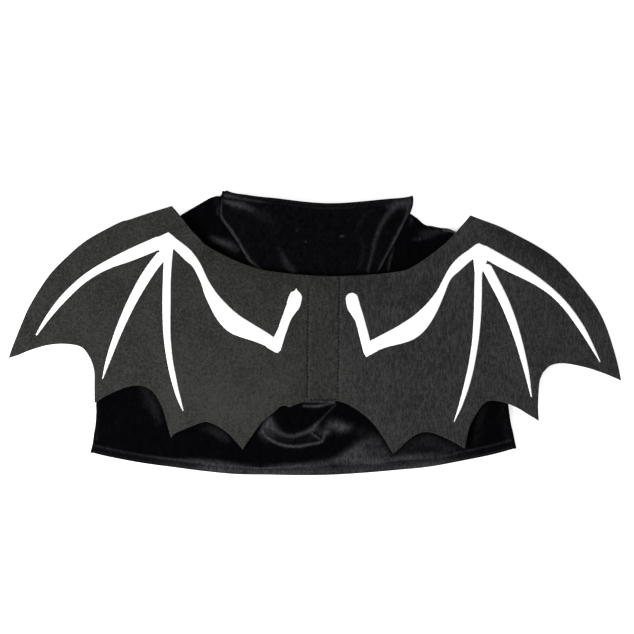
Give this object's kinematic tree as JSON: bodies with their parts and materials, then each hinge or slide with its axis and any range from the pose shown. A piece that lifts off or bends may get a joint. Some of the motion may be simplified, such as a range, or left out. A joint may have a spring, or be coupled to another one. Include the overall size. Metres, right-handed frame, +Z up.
{
  "type": "pet bat wings costume",
  "caption": "Pet costume: grey felt bat wings with white printed arm bones, sewn to the back of a black velvet capelet with a standing collar, lying flat.",
  "frame": {"origin": "centre of the bounding box in plan, on the surface that the costume lies on", "axes": "+X toward the right wing tip, +Y from the hem toward the collar, +Z up, away from the surface and out of the back of the costume"},
  "size_m": [0.4896, 0.2284, 0.0133],
  "materials": {
    "velvet": "short-pile black velvet with a bluish sheen at its folds",
    "felt": "matt charcoal needle felt with fine fibres",
    "print": "opaque white screen print"
  },
  "bodies": {
    "root": {"cape_body": "velvet", "collar": "velvet", "wings": "felt", "left_bones": "print", "right_bones": "print"}
  },
  "joints": []
}
